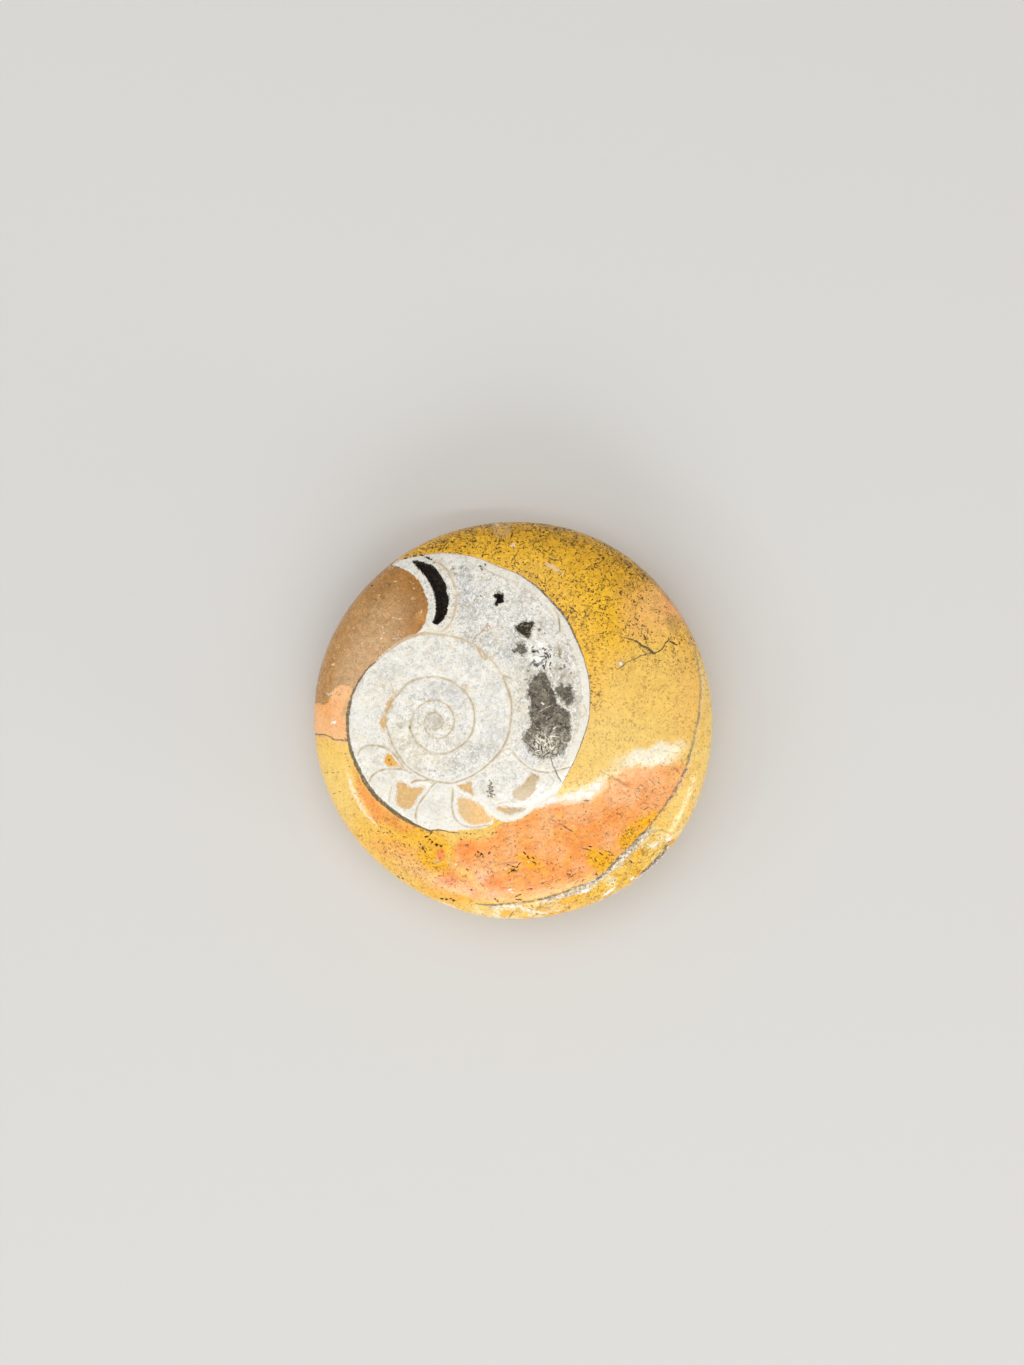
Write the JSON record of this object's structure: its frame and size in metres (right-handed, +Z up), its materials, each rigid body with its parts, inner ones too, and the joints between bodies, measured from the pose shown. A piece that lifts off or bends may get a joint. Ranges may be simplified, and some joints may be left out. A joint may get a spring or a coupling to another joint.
{
  "type": "fossil ammonite",
  "caption": "Polished domed limestone disc with a sliced goniatite-like ammonite in white calcite, lying on a small flat underside.",
  "frame": {"origin": "centre of the disc's width and depth, on the flat that it rests on", "axes": "+Z up through the polished dome, +Y towards the side where the ammonite's mouth is, +X to the right of it as seen from above"},
  "size_m": [0.07, 0.0698, 0.02],
  "materials": {
    "polished_limestone": "polished, glossy"
  },
  "bodies": {
    "root": {"fossil_stone": "polished_limestone"}
  },
  "joints": []
}
